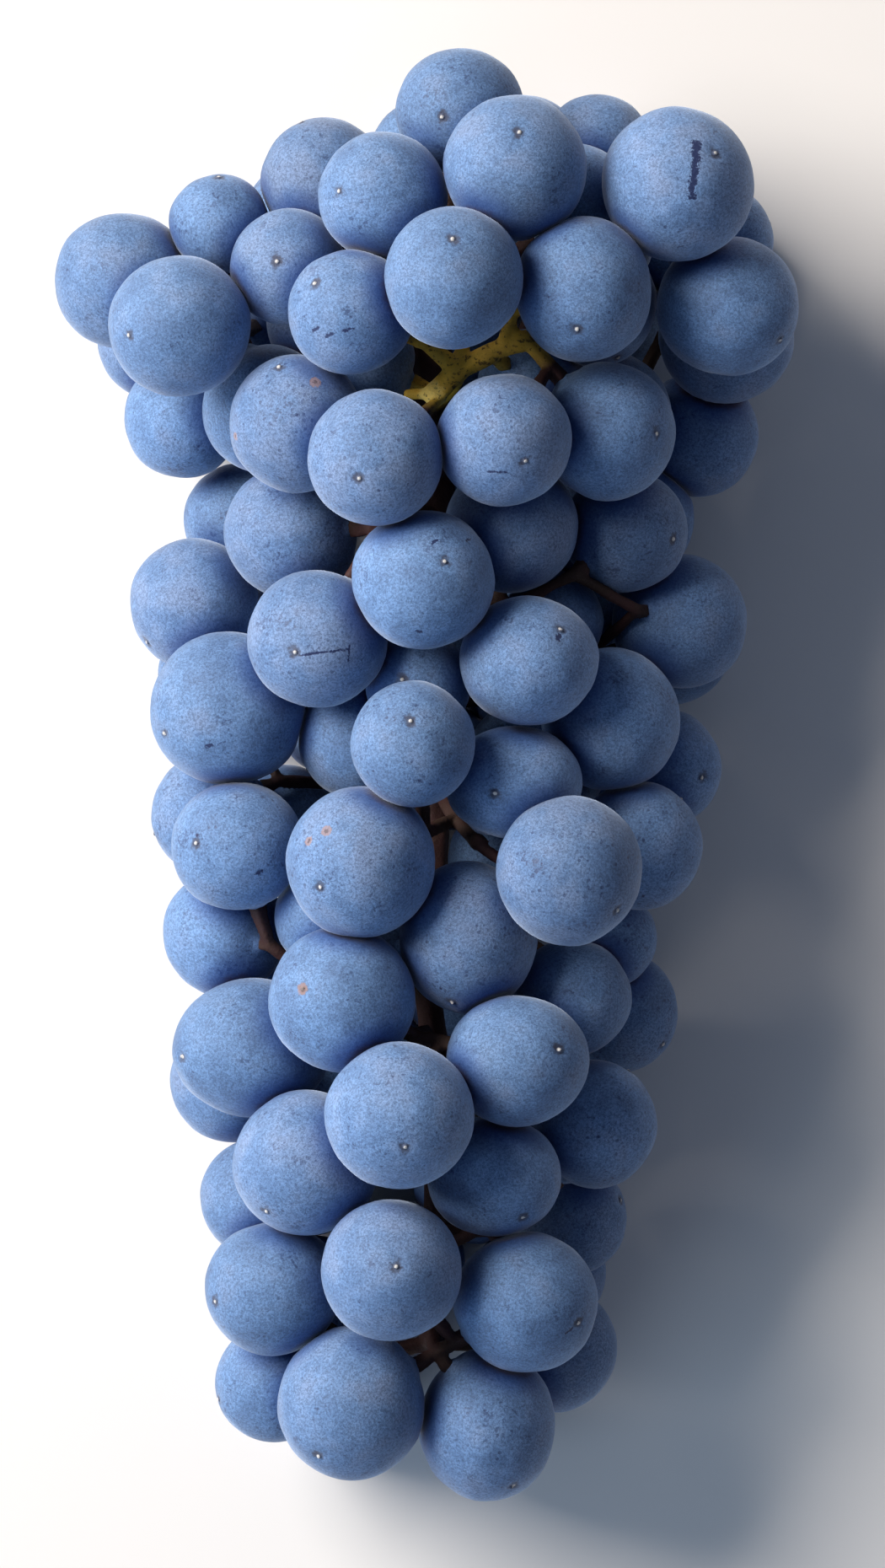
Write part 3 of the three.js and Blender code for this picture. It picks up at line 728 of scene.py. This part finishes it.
# The fork that shows in front, under the shoulders: each limb's two ends and radii, in mm.
FRONT_LIMBS = [
    ((2.2, 49.9, 33.0), (4.4, 52.6, 41.0), 1.5, 1.4),
    ((-2.6, 49.6, 39.6), (1.2, 49.6, 39.8), 0.6, 0.8),
    ((1.2, 49.6, 39.8), (4.2, 52.6, 41.5), 1.2, 1.5),
    ((4.2, 52.6, 41.5), (-0.6, 56.6, 42.0), 1.1, 0.65),
    ((4.6, 53.0, 41.5), (5.2, 57.0, 41.0), 1.0, 0.75),
    ((4.2, 52.6, 41.5), (8.6, 55.3, 43.2), 1.3, 0.9),
    ((8.6, 55.3, 43.2), (13.6, 57.2, 44.2), 0.9, 0.85),
    ((11.6, 56.5, 43.8), (11.3, 61.3, 45.5), 0.7, 0.55),
]
PALE_KNOT = ((1.3, 49.5, 40.2), 1.55)
FRONT_KNOTS = [PALE_KNOT, ((4.2, 52.6, 41.8), 1.6), ((12.4, 56.9, 44.1), 1.0)]
LIMB_SIDES = 16
UNSHADED_REACH = 1.2  # mm beyond these limbs' skin; over the next few the wood darkens to red-brown, partly painted shade
SHADE_GROWS_OVER = 3.0
STEM_VOXEL = 0.32 * MM
STEM_SMOOTHING = 5  # times
STEM_SOFTENING = 0.6
STEM_PLUMPING = 0.10 * MM  # gives back what smoothing takes
STEM_KNOBBLE = 0.20 * MM
STEM_KNOBBLES = 320.0  # to a metre


def add_limb(shape, start, end, radius_from, radius_to):
    along = end - start
    turn = along.to_track_quat("Z", "Y").to_matrix().to_4x4()
    place = Matrix.Translation((start + end) / 2) @ turn
    size = {"radius1": radius_from, "radius2": radius_to, "depth": along.length}
    bmesh.ops.create_cone(shape, cap_ends=True, segments=LIMB_SIDES, matrix=place, **size)


def add_knot(shape, centre, radius):
    place = Matrix.Translation(centre)
    bmesh.ops.create_icosphere(shape, subdivisions=3, radius=radius, matrix=place)


def stem_limbs():
    """The CAD stem's limbs, with the fuller limbs and knots of the fork in front."""
    shape = bmesh.new()
    shape.from_mesh(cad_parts["stem"].data)
    for start, end, radius_from, radius_to in FRONT_LIMBS:
        ends = [Vector(place) * MM for place in (start, end)]
        add_limb(shape, *ends, radius_from * MM, radius_to * MM)
    for centre, radius in FRONT_KNOTS:
        add_knot(shape, Vector(centre) * MM, radius * MM)
    mesh = bpy.data.meshes.new("branching_stem")
    shape.to_mesh(mesh)
    shape.free()
    return mesh


def unshaded_share(corners):
    """1 on the fork in front, 0 on the wood well away from it, which is painted dark red-brown,
    partly as shade.
    """
    nearest = np.full(len(corners), np.inf)
    for start, end, radius_from, radius_to in FRONT_LIMBS:
        start, line = np.array(start) * MM, (np.array(end) - np.array(start)) * MM
        along = np.clip((corners - start) @ line / (line @ line), 0.0, 1.0)
        away = np.linalg.norm(corners - start - along[:, None] * line, axis=1)
        nearest = np.minimum(nearest, away - max(radius_from, radius_to) * MM)
    return np.clip(1.0 - (nearest / MM - UNSHADED_REACH) / SHADE_GROWS_OVER, 0.0, 1.0)


def paleness(corners):
    """1 on the pale knot of the fork in front, 0 away from it."""
    centre, radius = np.array(PALE_KNOT[0]) * MM, PALE_KNOT[1] * MM
    away = np.linalg.norm(corners - centre, axis=1) / radius
    return np.clip(2.2 - 1.2 * away, 0.0, 1.0)


def evaluated_copy(piece):
    bpy.context.view_layer.update()
    depsgraph = bpy.context.evaluated_depsgraph_get()
    return bpy.data.meshes.new_from_object(piece.evaluated_get(depsgraph))


def make_stem(material):
    """The stem's limbs melted into one rounded, slightly knobbly woody piece."""
    piece = bpy.data.objects.new("branching_stem", stem_limbs())
    bpy.context.scene.collection.objects.link(piece)
    remesh = piece.modifiers.new("melt", "REMESH")
    remesh.mode = "VOXEL"
    remesh.voxel_size = STEM_VOXEL
    smooth = piece.modifiers.new("round", "SMOOTH")
    smooth.factor = STEM_SOFTENING
    smooth.iterations = STEM_SMOOTHING
    mesh = evaluated_copy(piece)
    piece.modifiers.clear()
    piece.data = mesh
    count = len(mesh.vertices)
    corners = np.empty(count * 3)
    normals = np.empty(count * 3)
    mesh.vertices.foreach_get("co", corners)
    mesh.vertices.foreach_get("normal", normals)
    corners, normals = corners.reshape(-1, 3), normals.reshape(-1, 3)
    knobbles = np.array([noise.noise(Vector(corner) * STEM_KNOBBLES) for corner in corners])
    corners += normals * (STEM_PLUMPING + STEM_KNOBBLE * knobbles)[:, None]
    mesh.vertices.foreach_set("co", corners.ravel())
    give_attribute(mesh, "own", "FLOAT_VECTOR", corners)
    give_attribute(mesh, "knot", "FLOAT", paleness(corners))
    give_attribute(mesh, "green", "FLOAT", unshaded_share(corners))
    mesh.shade_smooth()
    mesh.materials.clear()
    mesh.materials.append(material)
    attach(piece, BODY)
    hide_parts("stem")


def make_surface(material):
    half = SURFACE_SIZE / 2
    mesh = bpy.data.meshes.new("surface")
    corners = [(-half, -half, 0), (half, -half, 0), (half, half, 0), (-half, half, 0)]
    mesh.from_pydata(corners, [], [(0, 1, 2, 3)])
    mesh.materials.append(material)
    give_attribute(mesh, "own", "FLOAT_VECTOR", corners)
    surface = bpy.data.objects.new("surface", mesh)
    bpy.context.scene.collection.objects.link(surface)


place_camera()
light_the_studio()
make_surface(pale_surface())
make_berries()
make_stem(green_wood())
